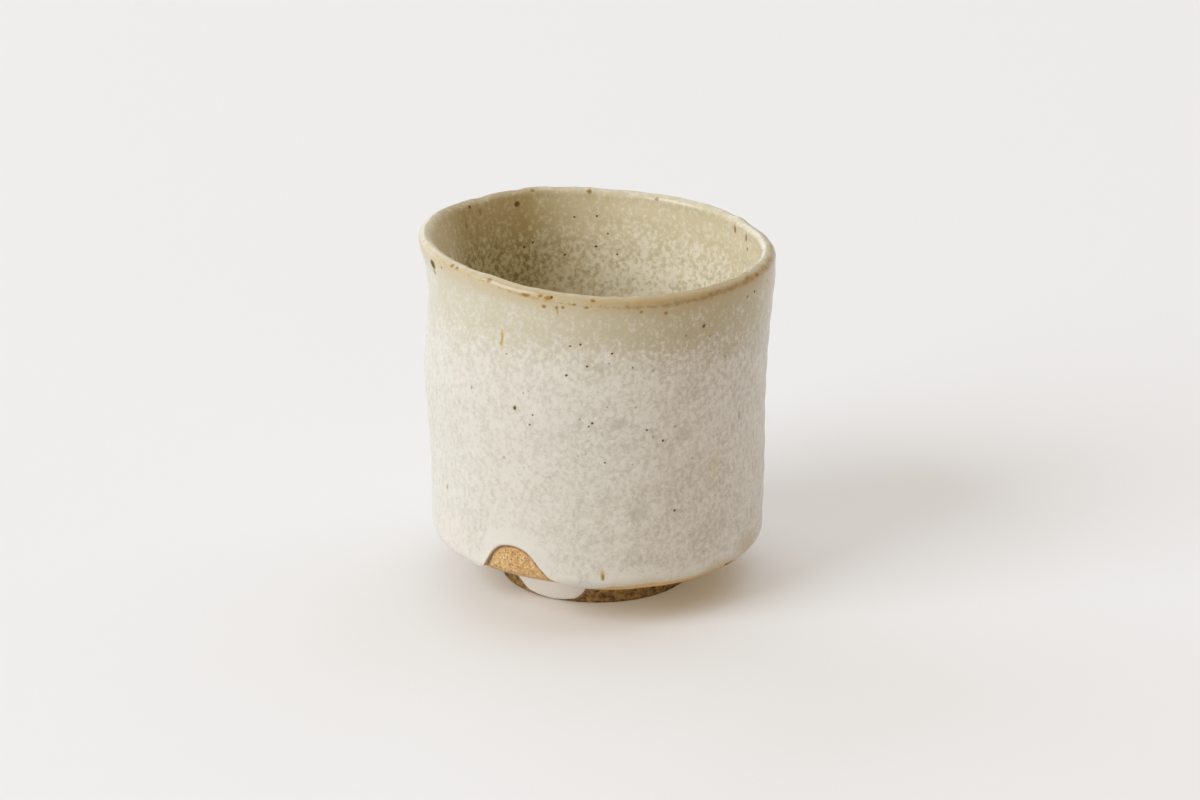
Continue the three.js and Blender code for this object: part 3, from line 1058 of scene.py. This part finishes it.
def studio_paper():
    """Plain pale paper, seen from above only, with its shadow lightened for the camera."""
    material, tree, place = new_material("paper_plain_and_matt")
    cloud = add(tree, "TexNoise", place, per(PAPER_CLOUD), *FINE)
    rough = add(tree, "MapRange", cloud, *PAPER_ROUGH)
    shader = add(tree, "BsdfPrincipled", linear(PAPER), METALLIC, rough)
    glow = add(tree, "Emission", linear(PAPER_GLOW), 1)
    share = add(tree, "LightPath").node.outputs["Is Camera Ray"]
    share = add(tree, "Math", share, GLOW_SHARE, operation="MULTIPLY")
    shader = add(tree, "MixShader", share, shader, glow)
    back = add(tree, "NewGeometry").node.outputs["Backfacing"]
    shader = add(tree, "MixShader", back, shader, add(tree, "BsdfTransparent"))
    add(tree, "OutputMaterial", shader)
    return material


# The studio.

CAMERA_AWAY = 1000
CAMERA_TILT = radians(20.4)  # how far it looks down
CAMERA_TARGET = (0.67, 0, 40.3)
FOCAL_PIXELS = 4462  # in the photograph's 1200 pixels of width
PICTURE_WIDTH = 1200
SENSOR = 36


def camera():
    """A long lens at the photograph's angle."""
    data = bpy.data.cameras.new("camera")
    data.sensor_fit = "HORIZONTAL"
    data.sensor_width = SENSOR
    data.lens = FOCAL_PIXELS * SENSOR / PICTURE_WIDTH
    made = bpy.data.objects.new("camera", data)
    back = Vector((0, -cos(CAMERA_TILT), sin(CAMERA_TILT))) * CAMERA_AWAY
    made.location = (Vector(CAMERA_TARGET) + back) * MM
    made.rotation_euler = (QUARTER - CAMERA_TILT, 0, 0)
    bpy.context.scene.collection.objects.link(made)
    bpy.context.scene.camera = made


FLOOR_SIZE = 3
SKY_LEVEL = 0.4
SKY_COLOUR = "#ffead0"
SOFTBOX_AWAY = 6
SOFTBOXES = [
    # name, azimuth and elevation in degrees, size, level, colour
    ("key_softbox", -149, 35, 3.6, 5.95, "#ebf5ff"),
    ("back_softbox", 125, 17, 7, 1.65, "#dcecff"),
    ("top_softbox", 45, 60, 6, 1.2, "#dcecff"),
    ("front_softbox", -128, 33, 6, 0.4, "#fff8ee"),
    ("right_card", -10, 8, 4, 0.55, "#fff6ea"),
]


def studio():
    """The floor, the soft lamps and a pale sky."""
    shape = bmesh.new()
    bmesh.ops.create_grid(shape, x_segments=1, y_segments=1, size=FLOOR_SIZE)
    mesh = bpy.data.meshes.new("floor")
    shape.to_mesh(mesh)
    shape.free()
    mesh.materials.append(studio_paper())
    floor = bpy.data.objects.new("floor", mesh)
    bpy.context.scene.collection.objects.link(floor)

    for name, azimuth, elevation, size, level, tint in SOFTBOXES:
        lamp = bpy.data.lights.new(name, "AREA")
        lamp.shape = "SQUARE"
        lamp.size = size
        lamp.color = linear(tint)[:3]
        lamp.energy = level * pi * size**2
        lit = bpy.data.objects.new(name, lamp)
        turn = Euler((0, -radians(elevation), radians(azimuth)))
        way = Vector((1, 0, 0))
        way.rotate(turn)
        lit.location = way * SOFTBOX_AWAY
        lit.rotation_euler = way.to_track_quat("Z", "Y").to_euler()
        bpy.context.scene.collection.objects.link(lit)

    world = bpy.data.worlds.new("studio")
    world.use_nodes = True
    tree = world.node_tree
    tree.nodes.clear()
    seen = add(tree, "LightPath").node.outputs["Is Camera Ray"]
    level = add(tree, "MapRange", seen, 0, 1, SKY_LEVEL, 1)
    add(tree, "OutputWorld", add(tree, "Background", linear(SKY_COLOUR), level))
    bpy.context.scene.world = world
    bpy.context.scene.view_settings.view_transform = "Standard"


camera()
studio()
clay_body()
foot_ring()
white_dab()
glaze_skin()
